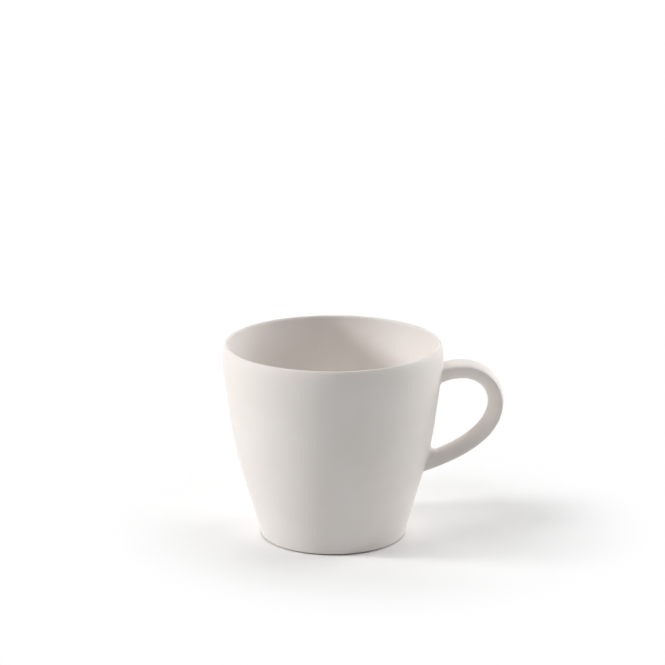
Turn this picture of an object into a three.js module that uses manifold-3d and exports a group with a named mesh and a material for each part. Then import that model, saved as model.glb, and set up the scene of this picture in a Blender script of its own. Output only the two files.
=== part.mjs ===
// A ceramic coffee cup: a tapered bowl on a turned foot ring, and a strap handle that was cast
// by itself and luted to the wall with clay slip at both ends.
// Millimetres, +Z up. The cup stands on z = 0 with its handle towards +X.
import * as THREE from 'three';
import { mergeVertices } from 'three/addons/utils/BufferGeometryUtils.js';
import Module from 'manifold-3d';

// Bowl
const CUP_HEIGHT = 78.4;
const RIM_RADIUS = 43.4;
const KNEE_RADIUS = 39.2;
const BASE_RADIUS = 28.6;
const KNEE_HEIGHT = 37.5;
const KNEE_ROUNDING = 9;
const LIP_HEIGHT = 8.4;
const LIP_TURN = 3;
const LIP_LEAN = 1.3;
const LIP_THICKNESS = 2.1;
const LIP_INNER_ROUNDING = 1.4;
const KNEE_THICKNESS = 2.6;
const BASE_THICKNESS = 3.2;
const FLOOR_THICKNESS = 3.6;
const FLOOR_CORNER = 9;

// Foot ring
const FOOT_HEIGHT = 0.6;
const FOOT_INSET = 0.9;
const FOOT_WIDTH = 4.5;
const FOOT_RECESS = 1.8;
const FOOT_RECESS_FLARE = 1.2;
const BASE_EDGE = 0.7;

// Handle: a strap with a crowned outer face and a round inner face, on a curve in the XZ plane
const STRAP_WIDTH = 12;
const STRAP_CROWN = 0.95;
const OUTER_FACE_SQUARENESS = 2.4;
const INNER_FACE_SQUARENESS = 2;
const UPPER_ROOT_THICKNESS = 6.6;
const TIP_THICKNESS = 6.1;
const LOWER_ROOT_THICKNESS = 5.5;
const HANDLE_REACH = 24;
const UPPER_ROOT_DROP = 12.8;
const TIP_DROP = 10.7;
const LOWER_ROOT_HEIGHT = 29.6;
const UPPER_ROOT_RISE = THREE.MathUtils.degToRad(20.2);
const LOWER_ROOT_RISE = THREE.MathUtils.degToRad(20.4);
const UPPER_ROOT_PULL = 15.8;
const UPPER_TIP_PULL = 6.5;
const LOWER_TIP_PULL = 9.2;
const LOWER_ROOT_PULL = 21;

// Slip joints between the handle's ends and the wall
const SLIP_THICKNESS = 1;
const SLIP_BEAD = 0.7;
const BOND_GAP = 0.3;

// Finish
const GLAZE_COLOUR = 0xece7e0;
const GLAZE_ROUGHNESS = 0.55;

// Facets
const TURN_SEGMENTS = 64;
const ROUND_STEPS = 4;
const STRAP_STEPS = 16;
const STRAP_SIDE_STEPS = 12;
const MERGE_DISTANCE = 1e-4;

const wasm = await Module();
wasm.setup();

// A closed three.js geometry as a solid that can be cut
function toSolid(geometry) {
  const bare = geometry.clone();
  bare.deleteAttribute('normal');
  bare.deleteAttribute('uv');
  const merged = mergeVertices(bare, MERGE_DISTANCE);
  const vertProperties = new Float32Array(merged.attributes.position.array);
  const triVerts = new Uint32Array(merged.index.array);
  return new wasm.Manifold(new wasm.Mesh({ numProp: 3, vertProperties, triVerts }));
}

function toGeometry(solid) {
  const mesh = solid.getMesh();
  const geometry = new THREE.BufferGeometry();
  geometry.setAttribute('position', new THREE.BufferAttribute(mesh.vertProperties, 3));
  geometry.setIndex(new THREE.BufferAttribute(mesh.triVerts, 1));
  geometry.computeVertexNormals();
  return geometry;
}

// Revolves a section, drawn as radius and height, about the cup's axis
function turn(path) {
  const geometry = new THREE.LatheGeometry(path.getPoints(ROUND_STEPS), TURN_SEGMENTS);
  return geometry.rotateX(Math.PI / 2);
}

// Point on the line from a to b, at a distance from a
function along(a, b, distance) {
  return b.clone().sub(a).setLength(distance).add(a);
}

// The outer wall's corners in section: radius and height, moved out by clear
function wallCorners(clear) {
  return {
    base: new THREE.Vector2(BASE_RADIUS + clear, FOOT_HEIGHT),
    knee: new THREE.Vector2(KNEE_RADIUS + clear, KNEE_HEIGHT),
    rim: new THREE.Vector2(RIM_RADIUS + clear, CUP_HEIGHT - LIP_HEIGHT),
    top: new THREE.Vector2(RIM_RADIUS + clear, CUP_HEIGHT),
  };
}

// Draws a line towards a corner and a soft bend round it, on the way to the next point
function drawBend(path, from, corner, to, reach) {
  const start = along(corner, from, reach);
  const end = along(corner, to, reach);
  path.lineTo(start.x, start.y);
  path.quadraticCurveTo(corner.x, corner.y, end.x, end.y);
}

// Draws the outer wall from its foot, round the knee and upright to where the lip begins
function drawWall(path, { base, knee, rim, top }) {
  drawBend(path, base, knee, rim, KNEE_ROUNDING);
  drawBend(path, knee, rim, top, LIP_TURN);
}

// A point or direction in the handle's plane
function inPlane(x, z) {
  return new THREE.Vector3(x, 0, z);
}

// The ends of the outer wall's straight stretch at a height
function wallStretch(height) {
  const { base, knee, rim } = wallCorners(0);
  return height < knee.y ? [base, knee] : [knee, rim];
}

// Radius of the outer wall at a height, before its knee is rounded
function wallRadius(height) {
  const [low, high] = wallStretch(height);
  return THREE.MathUtils.mapLinear(height, low.y, high.y, low.x, high.x);
}

// Direction straight out of the wall at a height, on the handle's side
function wallFacing(height) {
  const [low, high] = wallStretch(height);
  return inPlane(high.y - low.y, low.x - high.x).normalize();
}

// Bowl: one closed section from the foot's recess, up the outer wall, over the lip and down inside
function cupBody() {
  const wall = wallCorners(0);
  const { base, knee, rim } = wall;
  const footOuter = BASE_RADIUS - FOOT_INSET;
  const footInner = footOuter - FOOT_WIDTH;
  const floor = FOOT_RECESS + FLOOR_THICKNESS;
  const edgeTop = along(base, knee, BASE_EDGE);
  const lipRadius = RIM_RADIUS - LIP_LEAN;
  const lipStart = rim.y + LIP_TURN;
  const innerTop = new THREE.Vector2(RIM_RADIUS - LIP_THICKNESS, CUP_HEIGHT - LIP_INNER_ROUNDING);
  const innerRim = new THREE.Vector2(innerTop.x, rim.y);
  const innerKnee = new THREE.Vector2(KNEE_RADIUS - KNEE_THICKNESS, KNEE_HEIGHT);
  const innerBase = new THREE.Vector2(wallRadius(floor) - BASE_THICKNESS, floor);
  const floorCentre = new THREE.Vector2(0, floor);

  const section = new THREE.Path();
  section.moveTo(0, FOOT_RECESS);
  section.lineTo(footInner - FOOT_RECESS_FLARE, FOOT_RECESS);
  section.lineTo(footInner, 0);
  section.lineTo(footOuter, 0);
  section.lineTo(footOuter, FOOT_HEIGHT);
  section.lineTo(base.x - BASE_EDGE, base.y);
  section.quadraticCurveTo(base.x, base.y, edgeTop.x, edgeTop.y);
  drawWall(section, wall);
  section.absellipse(lipRadius, lipStart, LIP_LEAN, CUP_HEIGHT - lipStart, 0, Math.PI / 2);
  const lipCrown = lipRadius - innerTop.x;
  section.absellipse(lipRadius, innerTop.y, lipCrown, LIP_INNER_ROUNDING, Math.PI / 2, Math.PI);
  drawBend(section, innerTop, innerRim, innerKnee, LIP_TURN);
  drawBend(section, innerRim, innerKnee, innerBase, KNEE_ROUNDING);
  drawBend(section, innerKnee, innerBase, floorCentre, FLOOR_CORNER);
  section.lineTo(0, floor);
  return turn(section);
}

// Everything within the outer wall, grown by clear, as a solid to cut with
function wallCore(clear) {
  const wall = wallCorners(clear);
  const section = new THREE.Path();
  section.moveTo(0, wall.base.y);
  section.lineTo(wall.base.x, wall.base.y);
  drawWall(section, wall);
  section.lineTo(wall.top.x, wall.top.y);
  section.lineTo(0, wall.top.y);
  return toSolid(turn(section));
}

// One face of the strap: half an oval from edge to edge, an ellipse at squareness 2 and flatter above
function strapFace(startAngle, depth, half, squareness) {
  const halfTurn = new THREE.EllipseCurve(0, 0, 1, 1, startAngle, startAngle + Math.PI);
  const flatten = (value) => Math.sign(value) * Math.abs(value) ** (2 / squareness);
  const corners = halfTurn.getPoints(STRAP_SIDE_STEPS).slice(1);
  return corners.map(({ x, y }) => new THREE.Vector2(depth * flatten(x), half * flatten(y)));
}

// Outline of the strap across its run: x across its thickness, towards the finger, y across its width
function strapSection(thickness, grow) {
  const half = STRAP_WIDTH / 2 + grow;
  const inside = thickness - STRAP_CROWN + grow;
  const outside = STRAP_CROWN + grow;
  const outline = [
    ...strapFace(-Math.PI / 2, inside, half, INNER_FACE_SQUARENESS),
    ...strapFace(Math.PI / 2, outside, half, OUTER_FACE_SQUARENESS),
  ];
  return outline.map(({ x, y }) => new THREE.Vector2(x + STRAP_CROWN - thickness / 2, y));
}

// Lofts strap sections along stations, each with a point, a direction, a thickness and a growth
function loft(stations) {
  const positions = [];
  const index = [];
  const widthways = new THREE.Vector3(0, 1, 0);
  const rings = stations.map(({ point, direction, thickness, grow }) => {
    const across = new THREE.Vector3().crossVectors(widthways, direction).normalize();
    return strapSection(thickness, grow).map(({ x, y }) =>
      point.clone().addScaledVector(across, x).addScaledVector(widthways, y));
  });
  const count = rings[0].length;
  rings.flat().forEach((corner) => positions.push(...corner.toArray()));
  for (let ring = 0; ring + 1 < rings.length; ring += 1) {
    for (let side = 0; side < count; side += 1) {
      const next = (side + 1) % count;
      const [a, b] = [ring * count + side, ring * count + next];
      const [c, d] = [a + count, b + count];
      index.push(a, b, d, a, d, c);
    }
  }
  const last = (rings.length - 1) * count;
  for (let side = 1; side + 1 < count; side += 1) {
    index.push(0, side + 1, side);
    index.push(last, last + side, last + side + 1);
  }
  const geometry = new THREE.BufferGeometry();
  geometry.setAttribute('position', new THREE.Float32BufferAttribute(positions, 3));
  geometry.setIndex(index);
  return toSolid(geometry);
}

// A root of the strap: where its centre line meets the wall, and the way it leaves
function strapRoot(height, rise, thickness) {
  return {
    point: inPlane(wallRadius(height), height),
    out: inPlane(Math.cos(rise), Math.sin(rise)),
    thickness,
  };
}

const upperRootHeight = CUP_HEIGHT - UPPER_ROOT_DROP;
const upperRoot = strapRoot(upperRootHeight, UPPER_ROOT_RISE, UPPER_ROOT_THICKNESS);
const lowerRoot = strapRoot(LOWER_ROOT_HEIGHT, LOWER_ROOT_RISE, LOWER_ROOT_THICKNESS);
const tip = inPlane(RIM_RADIUS + HANDLE_REACH - TIP_THICKNESS / 2, upperRootHeight - TIP_DROP);

// Stations from a root to the tip, along a curve that leaves both ends by its pulls
function armStations(root, rootPull, tipPull) {
  const arm = new THREE.CubicBezierCurve3(
    root.point,
    root.point.clone().addScaledVector(root.out, rootPull),
    tip.clone().add(inPlane(0, tipPull)),
    tip);
  const stations = [];
  for (let step = 0; step <= STRAP_STEPS; step += 1) {
    const t = step / STRAP_STEPS;
    const swell = THREE.MathUtils.smoothstep(t, 0, 1);
    const thickness = THREE.MathUtils.lerp(root.thickness, TIP_THICKNESS, swell);
    stations.push({ point: arm.getPoint(t), direction: arm.getTangent(t), thickness, grow: 0 });
  }
  return stations;
}

// A station behind a root, inside the wall
function rootEnd(root) {
  const point = root.point.clone().addScaledVector(root.out, -root.thickness);
  return { point, direction: root.out, thickness: root.thickness, grow: 0 };
}

// The same stations travelled the other way, which turns the strap's inner face over
function turnedBack(stations) {
  return stations.toReversed().map((station) =>
    ({ ...station, direction: station.direction.clone().negate() }));
}

// Handle: the strap from root to root, its ends cut to the wall with room for the slip
function handle() {
  const upperArm = [rootEnd(upperRoot), ...armStations(upperRoot, UPPER_ROOT_PULL, UPPER_TIP_PULL)];
  const lowerArm = [rootEnd(lowerRoot), ...armStations(lowerRoot, LOWER_ROOT_PULL, -LOWER_TIP_PULL)];
  const strap = loft([...upperArm, ...turnedBack(lowerArm).slice(1)]);
  return toGeometry(strap.subtract(wallCore(BOND_GAP + SLIP_THICKNESS + BOND_GAP)));
}

// Stations of a slip joint: parallel to the wall, spreading from the strap's outline to a bead
function slipStations(root) {
  const facing = wallFacing(root.point.z);
  const lean = facing.dot(root.out);
  const top = BOND_GAP + SLIP_THICKNESS;
  const spread = SLIP_BEAD / SLIP_THICKNESS;
  const station = (depth, grow) => ({
    point: root.point.clone().addScaledVector(root.out, depth / lean),
    direction: facing,
    thickness: root.thickness / lean,
    grow,
  });
  return [station(-top, 2 * top * spread), station(top, 0), station(2 * top, 0)];
}

// Slip joint: a pad between the wall and the handle's end, with room to both
function slipJoint(stations) {
  const pad = loft(stations);
  return toGeometry(pad.intersect(wallCore(BOND_GAP + SLIP_THICKNESS)).subtract(wallCore(BOND_GAP)));
}

// One sub-part; all of them are under the same matt glaze
function piece(name, geometry) {
  const material = new THREE.MeshStandardMaterial({
    color: GLAZE_COLOUR,
    roughness: GLAZE_ROUGHNESS,
    metalness: 0,
  });
  const mesh = new THREE.Mesh(geometry, material);
  mesh.name = name;
  return mesh;
}

// The origin is under the middle of the whole cup, bowl and handle together
const cup = new THREE.Group();
cup.position.x = -HANDLE_REACH / 2;
cup.add(piece('cup_body', cupBody()));
cup.add(piece('handle', handle()));
cup.add(piece('upper_slip_joint', slipJoint(slipStations(upperRoot))));
cup.add(piece('lower_slip_joint', slipJoint(turnedBack(slipStations(lowerRoot)))));

export default cup;
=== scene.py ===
import math

import bpy
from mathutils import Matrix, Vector


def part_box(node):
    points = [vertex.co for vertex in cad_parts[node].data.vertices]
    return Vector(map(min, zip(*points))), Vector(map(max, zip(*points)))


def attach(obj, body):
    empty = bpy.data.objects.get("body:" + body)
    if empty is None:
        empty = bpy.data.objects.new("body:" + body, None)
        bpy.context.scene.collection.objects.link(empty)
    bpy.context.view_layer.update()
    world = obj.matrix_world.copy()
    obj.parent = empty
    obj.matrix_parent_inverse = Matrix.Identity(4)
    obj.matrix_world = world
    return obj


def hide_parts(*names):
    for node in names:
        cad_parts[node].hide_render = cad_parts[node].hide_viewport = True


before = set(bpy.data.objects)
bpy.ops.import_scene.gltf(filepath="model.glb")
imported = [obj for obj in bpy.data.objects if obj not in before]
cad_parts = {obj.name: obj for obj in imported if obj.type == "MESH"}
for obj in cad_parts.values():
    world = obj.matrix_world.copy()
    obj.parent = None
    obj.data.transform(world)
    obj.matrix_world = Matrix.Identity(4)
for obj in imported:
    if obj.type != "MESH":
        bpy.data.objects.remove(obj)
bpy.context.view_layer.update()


# Bowl: one piece of stoneware with its foot ring, wall, thin rounded lip and floor.
# It is formed in a mould, turned at the foot and fired under a matt off-white glaze, which is
# wiped off the foot ring so that the cup doesn't stick to the kiln shelf. The bare foot ring is
# coloured dark, partly as painted shade for the thin shadow gap under the foot.
body_low, body_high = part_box("cup_body")
axis_x = (body_low.x + body_high.x) / 2
rim_radius = (body_high.x - body_low.x) / 2
cup_height = body_high.z

# Each corner of the turned section is (radius, height), with the reach of its bend after it.
foot_height = 0.0005
foot_recess = Vector((0, 0.0018))
recess_edge, recess_bend = Vector((0.0220, 0.0018)), 0.0006
foot_inner, foot_inner_bend = Vector((0.0232, 0)), 0.0004
foot_outer, foot_outer_bend = Vector((0.0276, 0)), 0.00015
foot_top = Vector((foot_outer.x, foot_height))
glaze_edge = Vector((0.0281, foot_height))
base, base_bend = Vector((0.0288, foot_height)), 0.00015
knee, knee_bend = Vector((0.0392, 0.0375)), 0.009
rim, rim_bend = Vector((rim_radius, cup_height - 0.0084)), 0.003
lip_start = Vector((rim_radius, cup_height - 0.0054))
lip_crown = Vector((rim_radius - 0.0013, cup_height))
lip_inside = Vector((rim_radius - 0.0021, cup_height - 0.0014))
inner_knee = Vector((0.0366, knee.y))
inner_base, inner_base_bend = Vector((0.02678, 0.0054)), 0.009
bowl_floor = Vector((0, inner_base.y))

turn_steps = 192
section_spacing = 0.003
merge_distance = 1e-6
smooth_angle = math.radians(40)


def toward(start, end, distance):
    return start + (end - start).normalized() * distance


def soft_bend(before, corner, after, reach, steps):
    start = toward(corner, before, reach)
    end = toward(corner, after, reach)
    bend = []
    for step in range(steps + 1):
        t = step / steps
        bend.append(start.lerp(corner, t).lerp(corner.lerp(end, t), t))
    return bend


def lip_quarter(side, crown, steps=10):
    middle = Vector((crown.x, side.y))
    quarter = []
    for step in range(steps + 1):
        turn = math.pi / 2 * step / steps
        quarter.append(
            middle + (side - middle) * math.cos(turn) + (crown - middle) * math.sin(turn))
    return quarter


def even_steps(corners, spacing):
    points = [corners[0]]
    for corner in corners[1:]:
        start = points[-1]
        length = (corner - start).length
        if length < merge_distance:
            continue
        count = math.ceil(length / spacing)
        for step in range(1, count + 1):
            points.append(start.lerp(corner, step / count))
    return points


outer_wall = [
    *soft_bend(glaze_edge, base, knee, base_bend, steps=6),
    *soft_bend(base, knee, rim, knee_bend, steps=16),
    *soft_bend(knee, rim, lip_start, rim_bend, steps=12),
]
bowl_section = [
    foot_recess,
    *soft_bend(foot_recess, recess_edge, foot_inner, recess_bend, steps=4),
    *soft_bend(recess_edge, foot_inner, foot_outer, foot_inner_bend, steps=4),
    *soft_bend(foot_inner, foot_outer, foot_top, foot_outer_bend, steps=4),
    foot_top,
    *outer_wall,
    *lip_quarter(lip_start, lip_crown),
    *reversed(lip_quarter(lip_inside, lip_crown)),
    *soft_bend(lip_inside, inner_knee, inner_base, knee_bend, steps=16),
    *soft_bend(inner_knee, inner_base, bowl_floor, inner_base_bend, steps=16),
    bowl_floor,
]
outer_wall = even_steps(outer_wall, section_spacing)
bowl_section = even_steps(bowl_section, section_spacing)

bpy.ops.object.select_all(action="DESELECT")
bpy.ops.mesh.primitive_plane_add(size=0.001, location=(axis_x, 0, foot_recess.y))
bowl = bpy.context.object
bowl.name = "glazed_bowl"
bpy.ops.object.transform_apply(location=True, rotation=True, scale=True)
bpy.ops.object.mode_set(mode="EDIT")
bpy.ops.mesh.select_all(action="SELECT")
bpy.ops.mesh.merge(type="CENTER")
for here, there in zip(bowl_section, bowl_section[1:]):
    step = there - here
    bpy.ops.mesh.extrude_region_move(TRANSFORM_OT_translate={"value": (step.x, 0, step.y)})
bpy.ops.mesh.select_all(action="SELECT")
bpy.ops.mesh.spin(steps=turn_steps, angle=2 * math.pi, center=(axis_x, 0, 0), axis=(0, 0, 1))
bpy.ops.mesh.select_all(action="SELECT")
bpy.ops.mesh.remove_doubles(threshold=merge_distance)
bpy.ops.mesh.normals_make_consistent(inside=False)
bpy.ops.object.mode_set(mode="OBJECT")
bpy.ops.object.shade_smooth_by_angle(angle=smooth_angle)

glaze_cream = (0.862, 0.820, 0.787, 1)
glaze_warm = (0.846, 0.797, 0.758, 1)
glaze_fleck = (0.60, 0.52, 0.43, 1)
# Bare foot ring: a clay tone made dark as painted shade, standing in for the shadow gap under
# the foot.
bare_clay_and_painted_shade = (0.30, 0.272, 0.245, 1)
glaze_sheen = 0.4
glaze_roughness = (0.50, 0.64)
bare_clay_roughness_gain = 0.3
glaze_line = (foot_height + 0.00001, foot_height + 0.00006)
cloud_scale = 38
fleck_scale = 2300
fleck_strength = 0.35
polish_scale = 160
ripple_scale = 520
grain_scale = 3400
grain_share = 0.3
ripple_strength = 0.6
ripple_height = 0.00002
clay_grain_scale = 1800
clay_grain_strength = 0.2


def noise(tree, scale, detail):
    texture = tree.nodes.new("ShaderNodeTexNoise")
    texture.inputs["Scale"].default_value = scale
    texture.inputs["Detail"].default_value = detail
    place = tree.nodes["Texture Coordinate"].outputs["Object"]
    tree.links.new(place, texture.inputs["Vector"])
    return texture.outputs["Fac"]


def level(tree, value, low, high, to_low, to_high):
    spread = tree.nodes.new("ShaderNodeMapRange")
    spread.interpolation_type = "SMOOTHSTEP"
    spread.inputs["From Min"].default_value = low
    spread.inputs["From Max"].default_value = high
    spread.inputs["To Min"].default_value = to_low
    spread.inputs["To Max"].default_value = to_high
    tree.links.new(value, spread.inputs["Value"])
    return spread.outputs["Result"]


def tint(tree, share, colour_a, colour_b):
    mix = tree.nodes.new("ShaderNodeMix")
    mix.data_type = "RGBA"
    tree.links.new(share, mix.inputs["Factor"])
    for name, colour in (("A", colour_a), ("B", colour_b)):
        socket = next(s for s in mix.inputs if s.name == name and s.type == "RGBA")
        if isinstance(colour, tuple):
            socket.default_value = colour
        else:
            tree.links.new(colour, socket)
    return next(s for s in mix.outputs if s.type == "RGBA")


def scaled_sum(tree, value, scale, added):
    math_node = tree.nodes.new("ShaderNodeMath")
    math_node.operation = "MULTIPLY_ADD"
    math_node.inputs[1].default_value = scale
    tree.links.new(value, math_node.inputs[0])
    tree.links.new(added, math_node.inputs[2])
    return math_node.outputs["Value"]


def matt_glaze(name):
    material = bpy.data.materials.new(name)
    material.use_nodes = True
    tree = material.node_tree
    tree.nodes.new("ShaderNodeTexCoord")
    shader = tree.nodes["Principled BSDF"]
    shader.inputs["Specular IOR Level"].default_value = glaze_sheen

    clouding = level(tree, noise(tree, cloud_scale, 3), 0.35, 0.68, 0, 1)
    clouded = tint(tree, clouding, glaze_cream, glaze_warm)
    flecks = level(tree, noise(tree, fleck_scale, 1), 0.70, 0.78, 0, fleck_strength)
    tree.links.new(tint(tree, flecks, clouded, glaze_fleck), shader.inputs["Base Color"])
    polish = level(tree, noise(tree, polish_scale, 4), 0.3, 0.7, *glaze_roughness)
    tree.links.new(polish, shader.inputs["Roughness"])

    ripple = scaled_sum(
        tree, noise(tree, grain_scale, 2), grain_share, noise(tree, ripple_scale, 2))
    bump = tree.nodes.new("ShaderNodeBump")
    bump.inputs["Strength"].default_value = ripple_strength
    bump.inputs["Distance"].default_value = ripple_height
    tree.links.new(ripple, bump.inputs["Height"])
    tree.links.new(bump.outputs["Normal"], shader.inputs["Normal"])
    return material


bowl_glaze = matt_glaze("matt_glaze_on_bowl")
tree = bowl_glaze.node_tree
colour_socket = tree.nodes["Principled BSDF"].inputs["Base Color"]
roughness_socket = tree.nodes["Principled BSDF"].inputs["Roughness"]
bowl_place = tree.nodes.new("ShaderNodeSeparateXYZ")
tree.links.new(tree.nodes["Texture Coordinate"].outputs["Object"], bowl_place.inputs["Vector"])
# The wiped foot ring takes the dark clay colour: bare clay, darkened as painted shade for the
# gap under the foot.
wiped_foot_and_painted_shade = level(tree, bowl_place.outputs["Z"], *glaze_line, 1, 0)
clay_grain = level(
    tree, noise(tree, clay_grain_scale, 5), 0.35, 0.7, 0, clay_grain_strength)
clay_and_painted_shade = tint(tree, clay_grain, bare_clay_and_painted_shade, glaze_warm)
glazed_or_shaded_clay = tint(tree, wiped_foot_and_painted_shade, colour_socket.links[0].from_socket, clay_and_painted_shade)
glazed_or_dry = scaled_sum(
    tree, wiped_foot_and_painted_shade, bare_clay_roughness_gain, roughness_socket.links[0].from_socket)
tree.links.new(glazed_or_shaded_clay, colour_socket)
tree.links.new(glazed_or_dry, roughness_socket)
bowl.data.materials.append(bowl_glaze)
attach(bowl, "root")
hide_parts("cup_body")


# Handle: a strap of stoneware, cast by itself and bent into an ear that rises a little out of
# the wall, turns over and runs back to the knee. Its outer face is gently crowned between two
# neat edges, and its inner face is round for the finger. Same matt glaze.
strap_width = 0.0120
strap_crown = 0.00095
crown_squareness = 2.4
upper_thickness = 0.0066
tip_thickness = 0.0061
lower_thickness = 0.0055
upper_root_height = cup_height - 0.0128
lower_root_height = 0.0296
upper_rise = math.radians(20.2)
lower_rise = math.radians(20.4)
tip_drop = 0.0107
upper_root_pull = 0.0158
tip_upper_pull = 0.0065
tip_lower_pull = 0.0092
lower_root_pull = 0.0210
root_bed = 0.0003
arm_steps = 48
strap_sides = 64
slide_rounds = 8


def radius_between(low, high, height):
    return low.lerp(high, (height - low.y) / (high.y - low.y)).x


def wall_radius(height):
    for low, high in zip(outer_wall, outer_wall[1:]):
        if low.y <= height <= high.y:
            return radius_between(low, high, height)


upper_root = Vector((radius_between(knee, rim, upper_root_height), upper_root_height))
lower_root = Vector((radius_between(base, knee, lower_root_height), lower_root_height))
upper_out = Vector((math.cos(upper_rise), math.sin(upper_rise)))
lower_out = Vector((math.cos(lower_rise), math.sin(lower_rise)))
tip_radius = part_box("handle")[1].x - axis_x - tip_thickness / 2
ear_tip = Vector((tip_radius, upper_root_height - tip_drop))
upper_arm = [
    upper_root,
    upper_root + upper_out * upper_root_pull,
    ear_tip + Vector((0, tip_upper_pull)),
    ear_tip,
]
lower_arm = [
    ear_tip,
    ear_tip - Vector((0, tip_lower_pull)),
    lower_root + lower_out * lower_root_pull,
    lower_root,
]


def strap_blank(name, levels):
    bpy.ops.object.select_all(action="DESELECT")
    bpy.ops.mesh.primitive_circle_add(vertices=strap_sides, radius=1, fill_type="NGON")
    blank = bpy.context.object
    blank.name = name
    bpy.ops.object.mode_set(mode="EDIT")
    bpy.ops.mesh.select_all(action="SELECT")
    for _ in range(levels):
        bpy.ops.mesh.extrude_region_move(TRANSFORM_OT_translate={"value": (0, 0, 1)})
    bpy.ops.object.mode_set(mode="OBJECT")
    return blank


def close_and_smooth():
    bpy.ops.object.mode_set(mode="EDIT")
    bpy.ops.mesh.select_all(action="SELECT")
    bpy.ops.mesh.normals_make_consistent(inside=False)
    bpy.ops.object.mode_set(mode="OBJECT")
    bpy.ops.object.shade_smooth_by_angle(angle=smooth_angle)


def strap_outline(blank_x, blank_y, thickness):
    depth = thickness - strap_crown if blank_x > 0 else strap_crown
    power = 1 if blank_x > 0 else 2 / crown_squareness
    half = strap_width / 2
    out_x = math.copysign(abs(blank_x) ** power, blank_x) * depth
    out_y = math.copysign(abs(blank_y) ** power, blank_y) * half
    steep_x = math.copysign(abs(out_x / depth) ** (2 / power - 1), blank_x) / depth
    steep_y = math.copysign(abs(out_y / half) ** (2 / power - 1), blank_y) / half
    spot = Vector((strap_crown - thickness / 2 + out_x, out_y))
    return spot, Vector((steep_x, steep_y)).normalized()


def arm_point(arm, t):
    a, b, c, d = arm
    point = a * (1 - t) ** 3 + b * 3 * t * (1 - t) ** 2 + c * 3 * t * t * (1 - t) + d * t ** 3
    way = (b - a) * (1 - t) ** 2 + (c - b) * 2 * t * (1 - t) + (d - c) * t * t
    return point, way.normalized()


handle = strap_blank("strap_handle", 2 * arm_steps)
for vertex in handle.data.vertices:
    t = round(vertex.co.z) / arm_steps
    if t <= 1:
        point, way = arm_point(upper_arm, t)
        root_out, root_thickness, from_root = upper_out, upper_thickness, t
    else:
        point, way = arm_point(lower_arm, t - 1)
        root_out, root_thickness, from_root = lower_out, lower_thickness, 2 - t
    easing = from_root * from_root * (3 - 2 * from_root)
    thickness = root_thickness + (tip_thickness - root_thickness) * easing
    spot, _ = strap_outline(vertex.co.x, vertex.co.y, thickness)
    place = point + Vector((way.y, -way.x)) * spot.x
    if from_root == 0:
        for _ in range(slide_rounds):
            gap = wall_radius(place.y) + root_bed - math.hypot(place.x, spot.y)
            place += root_out * (gap / root_out.x)
    vertex.co = (axis_x + place.x, spot.y, place.y)
close_and_smooth()
handle.data.materials.append(matt_glaze("matt_glaze_on_handle"))
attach(handle, "root")
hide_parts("handle")


# Upper slip joint: liquid clay that luted the handle's upper end to the leather-hard wall.
# It was sponged to a small hollow bead round the strap and fired under the same glaze.
slip_levels = 10
slip_bed = 0.0003
slip_cover = 0.0006
slip_tuck = 0.00015
slope_step = 1e-4
# Each bead's reach is (along the wall, along the strap).
thin_bead = Vector((0.0006, 0.0006))
upper_inside_bead = Vector((0.0012, 0.0012))


def on_the_wall(place):
    share = wall_radius(place.z) / math.hypot(place.x, place.y)
    return Vector((place.x * share, place.y * share, place.z))


def slip_joint(name, root, out, thickness, inner_face, inside_bead):
    joint = strap_blank(name, slip_levels)
    across = Vector((out.y, 0, -out.x)) * inner_face
    strap_way = Vector((out.x, 0, out.y))
    for vertex in joint.data.vertices:
        stage = round(vertex.co.z)
        spot, outline = strap_outline(vertex.co.x, vertex.co.y, thickness)
        away = across * outline.x + Vector((0, outline.y, 0))
        seat = Vector((root.x, 0, root.y)) + across * spot.x + Vector((0, spot.y, 0))
        for _ in range(slide_rounds):
            gap = wall_radius(seat.z) - math.hypot(seat.x, seat.y)
            seat += strap_way * (gap / strap_way.x)
        rise = wall_radius(seat.z + slope_step) - wall_radius(seat.z - slope_step)
        facing = Vector((seat.x, seat.y, 0)).normalized()
        facing.z = -rise / (2 * slope_step)
        facing.normalize()
        spread = (away - facing * away.dot(facing)).normalized()
        on_wall, on_strap = thin_bead.lerp(inside_bead, max(0, outline.x) ** 2)
        t = (stage - 1) / (slip_levels - 2)
        if t < 0:
            place = on_the_wall(seat + spread * on_wall) - facing * slip_bed
        elif t > 1:
            place = seat + strap_way * (on_strap + slip_cover) - away * slip_tuck
        else:
            place = on_the_wall(seat + spread * on_wall * (1 - t) ** 2)
            place += strap_way * on_strap * t * t
        vertex.co = (axis_x + place.x, place.y, place.z)
    close_and_smooth()
    joint.data.materials.append(matt_glaze("matt_glaze_on_" + name))
    return joint


upper_joint = slip_joint(
    "upper_slip_bead", upper_root, upper_out, upper_thickness, 1, upper_inside_bead)
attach(upper_joint, "root")
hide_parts("upper_slip_joint")


# Lower slip joint: the same luting at the handle's lower end, where the strap meets the wall
# just under the knee. The bead follows the leaning wall and fills the sharp corner on the
# finger's side.
lower_inside_bead = Vector((0.0052, 0.0062))
lower_joint = slip_joint(
    "lower_slip_bead", lower_root, lower_out, lower_thickness, -1, lower_inside_bead)
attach(lower_joint, "root")
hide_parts("lower_slip_joint")


# Table: a plain white surface that runs out into the white of the room. It takes the cup's
# soft shadow close by and turns to plain white further off, round a middle near the shadow.
table_size = 6
table_roughness = 0.9
table_sheen = 0.1
table_bounce = 0.90
table_shown = 0.96
table_glow = 0.02
fade_middle = (axis_x + 0.018, 0.014, 0)
fade_start = 0.055
fade_end = 0.115

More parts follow.
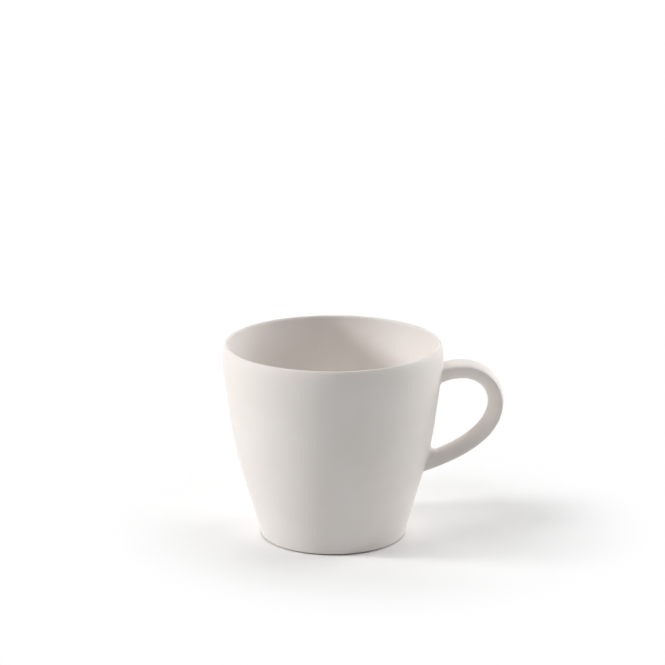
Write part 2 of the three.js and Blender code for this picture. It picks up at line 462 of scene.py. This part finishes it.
bpy.ops.object.select_all(action="DESELECT")
bpy.ops.mesh.primitive_plane_add(size=table_size)
table = bpy.context.object
table.name = "white_table"
table_white = bpy.data.materials.new("white_table_top")
table_white.use_nodes = True
nodes = table_white.node_tree.nodes
links = table_white.node_tree.links
surface = nodes["Principled BSDF"]
surface.inputs["Roughness"].default_value = table_roughness
surface.inputs["Specular IOR Level"].default_value = table_sheen
surface.inputs["Emission Color"].default_value = (1, 1, 1, 1)
ray = nodes.new("ShaderNodeLightPath")
glow = nodes.new("ShaderNodeMath")
glow.operation = "MULTIPLY"
glow.inputs[1].default_value = table_glow
links.new(ray.outputs["Is Camera Ray"], glow.inputs[0])
links.new(glow.outputs["Value"], surface.inputs["Emission Strength"])
paper = nodes.new("ShaderNodeMapRange")
paper.inputs["To Min"].default_value = table_bounce
paper.inputs["To Max"].default_value = table_shown
links.new(ray.outputs["Is Camera Ray"], paper.inputs["Value"])
links.new(paper.outputs["Result"], surface.inputs["Base Color"])
far_off = nodes.new("ShaderNodeVectorMath")
far_off.operation = "DISTANCE"
far_off.inputs[1].default_value = fade_middle
links.new(nodes.new("ShaderNodeTexCoord").outputs["Object"], far_off.inputs[0])
fade = nodes.new("ShaderNodeMapRange")
fade.interpolation_type = "SMOOTHSTEP"
fade.inputs["From Min"].default_value = fade_start
fade.inputs["From Max"].default_value = fade_end
links.new(far_off.outputs["Value"], fade.inputs["Value"])
white = nodes.new("ShaderNodeEmission")
seen = nodes.new("ShaderNodeMixShader")
links.new(fade.outputs["Result"], seen.inputs["Fac"])
links.new(surface.outputs["BSDF"], seen.inputs[1])
links.new(white.outputs["Emission"], seen.inputs[2])
by_ray = nodes.new("ShaderNodeMixShader")
links.new(ray.outputs["Is Camera Ray"], by_ray.inputs["Fac"])
links.new(surface.outputs["BSDF"], by_ray.inputs[1])
links.new(seen.outputs["Shader"], by_ray.inputs[2])
links.new(by_ray.outputs["Shader"], nodes["Material Output"].inputs["Surface"])
table.data.materials.append(table_white)


# Studio light: a window on the left with its upper part, white walls on the left, on the right,
# close by and behind that send light back, and a white ceiling. The room itself adds almost
# nothing, and is plain white where it is seen or mirrored.
cup_middle = Vector((axis_x, 0, 0.045))
lamp_distance = 1.4
room_strength = 0.01


def soft_lamp(name, azimuth, elevation, size, power):
    lamp_data = bpy.data.lights.new(name, "AREA")
    lamp_data.shape = "RECTANGLE"
    lamp_data.size, lamp_data.size_y = size
    lamp_data.energy = power
    lamp = bpy.data.objects.new(name, lamp_data)
    bpy.context.scene.collection.objects.link(lamp)
    turn = math.radians(azimuth)
    lift = math.radians(elevation)
    way = Vector((
        math.cos(lift) * math.cos(turn), math.cos(lift) * math.sin(turn), math.sin(lift)))
    lamp.location = cup_middle + way * lamp_distance
    lamp.rotation_euler = way.to_track_quat("Z", "Y").to_euler()


soft_lamp("window", 181, 19.5, (0.28, 0.28), 11.4)
soft_lamp("window_high", 210, 58, (0.5, 0.5), 4.3)
soft_lamp("wall_left", 240, 25, (0.9, 0.7), 0.8)
soft_lamp("wall_right", 24, 20, (1.0, 0.7), 12.4)
soft_lamp("wall_near", 335, 45, (0.7, 0.5), 2.3)
soft_lamp("wall_behind", 90, 35, (0.9, 0.7), 5.0)
soft_lamp("ceiling", 90, 85, (0.9, 0.9), 2.7)

world = bpy.data.worlds.new("white_room")
bpy.context.scene.world = world
world.use_nodes = True
nodes = world.node_tree.nodes
links = world.node_tree.links
room = nodes["Background"]
room.inputs["Color"].default_value = (1, 1, 1, 1)
room.inputs["Strength"].default_value = room_strength
backdrop = nodes.new("ShaderNodeBackground")
backdrop.inputs["Color"].default_value = (1, 1, 1, 1)
ray = nodes.new("ShaderNodeLightPath")
seen_or_mirrored = nodes.new("ShaderNodeMath")
seen_or_mirrored.operation = "MAXIMUM"
links.new(ray.outputs["Is Camera Ray"], seen_or_mirrored.inputs[0])
links.new(ray.outputs["Is Glossy Ray"], seen_or_mirrored.inputs[1])
shown = nodes.new("ShaderNodeMath")
shown.operation = "MAXIMUM"
links.new(seen_or_mirrored.outputs["Value"], shown.inputs[0])
links.new(ray.outputs["Is Transmission Ray"], shown.inputs[1])
by_ray = nodes.new("ShaderNodeMixShader")
links.new(shown.outputs["Value"], by_ray.inputs["Fac"])
links.new(room.outputs["Background"], by_ray.inputs[1])
links.new(backdrop.outputs["Background"], by_ray.inputs[2])
links.new(by_ray.outputs["Shader"], nodes["World Output"].inputs["Surface"])
bpy.context.scene.view_settings.view_transform = "Standard"


# Camera: level, in front of the cup and a little above it, looking down at 15 degrees.
camera_data = bpy.data.cameras.new("camera")
camera_data.sensor_width = 36
camera_data.lens = 129.55
camera = bpy.data.objects.new("camera", camera_data)
bpy.context.scene.collection.objects.link(camera)
camera.location = (-0.01216, -0.90778, 0.32508)
camera.rotation_euler = (math.radians(75.03), 0, 0)
bpy.context.scene.camera = camera
